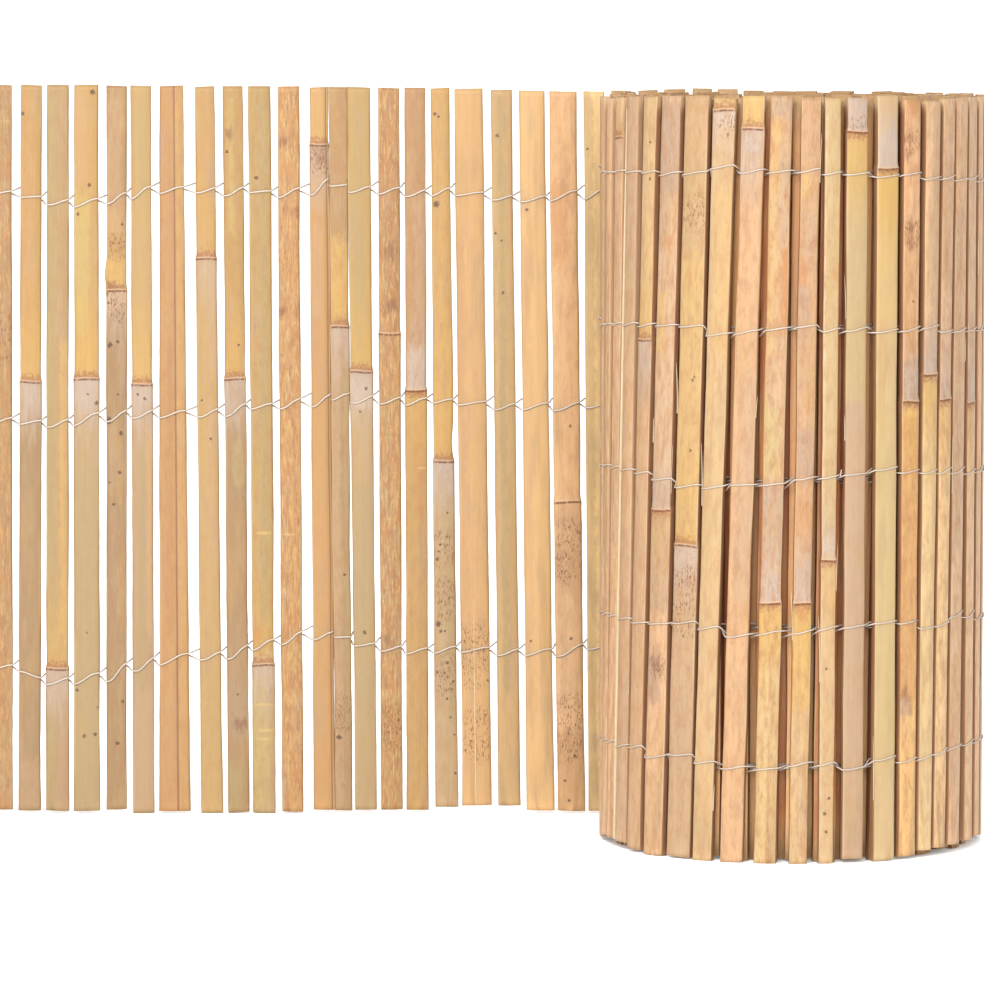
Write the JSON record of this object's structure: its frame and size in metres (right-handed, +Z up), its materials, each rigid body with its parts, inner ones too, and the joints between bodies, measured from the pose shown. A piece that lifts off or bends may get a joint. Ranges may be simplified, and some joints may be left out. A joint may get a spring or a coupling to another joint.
{
  "type": "bamboo slat fence panel, partly unrolled",
  "caption": "Split bamboo slats bound side by side with twisted wire, standing partly unrolled: a flat run leaves an upright spiral roll.",
  "frame": {"origin": "on the ground under the middle of the bounding box of the standing fence", "axes": "+X along the flat run towards the roll, +Y away from the side that shows in the picture, +Z up along the slats"},
  "size_m": [0.6834, 0.265, 0.504],
  "materials": {
    "bamboo": "dry split bamboo: crowned skins in straw, olive and orange brown with pale knots, satin",
    "wire": "thin galvanised wire, dull"
  },
  "bodies": {
    "root": {"joining_slat": "bamboo", "roll_inner_turns": "bamboo", "roll_outer_turn": "bamboo", "roll_wire_1": "wire", "roll_wire_2": "wire", "roll_wire_3": "wire", "roll_wire_4": "wire", "roll_wire_5": "wire", "run_slat_01": "bamboo", "run_slat_02": "bamboo", "run_slat_03": "bamboo", "run_slat_04": "bamboo", "run_slat_05": "bamboo", "run_slat_06": "bamboo", "run_slat_07": "bamboo", "run_slat_08": "bamboo", "run_slat_09": "bamboo", "run_slat_10": "bamboo", "run_slat_11": "bamboo", "run_slat_12": "bamboo", "run_slat_13": "bamboo", "run_slat_14": "bamboo", "run_slat_15": "bamboo", "run_slat_16": "bamboo", "run_slat_17": "bamboo", "run_slat_18": "bamboo", "run_slat_19": "bamboo", "run_slat_20": "bamboo", "run_slat_21": "bamboo", "run_slat_22": "bamboo", "run_slat_23": "bamboo", "run_slat_24": "bamboo", "run_slat_25": "bamboo", "run_slat_26": "bamboo", "run_slat_27": "bamboo", "run_slat_28": "bamboo", "run_wire_bottom_a": "wire", "run_wire_bottom_b": "wire", "run_wire_middle_a": "wire", "run_wire_middle_b": "wire", "run_wire_top_a": "wire", "run_wire_top_b": "wire"}
  },
  "joints": []
}
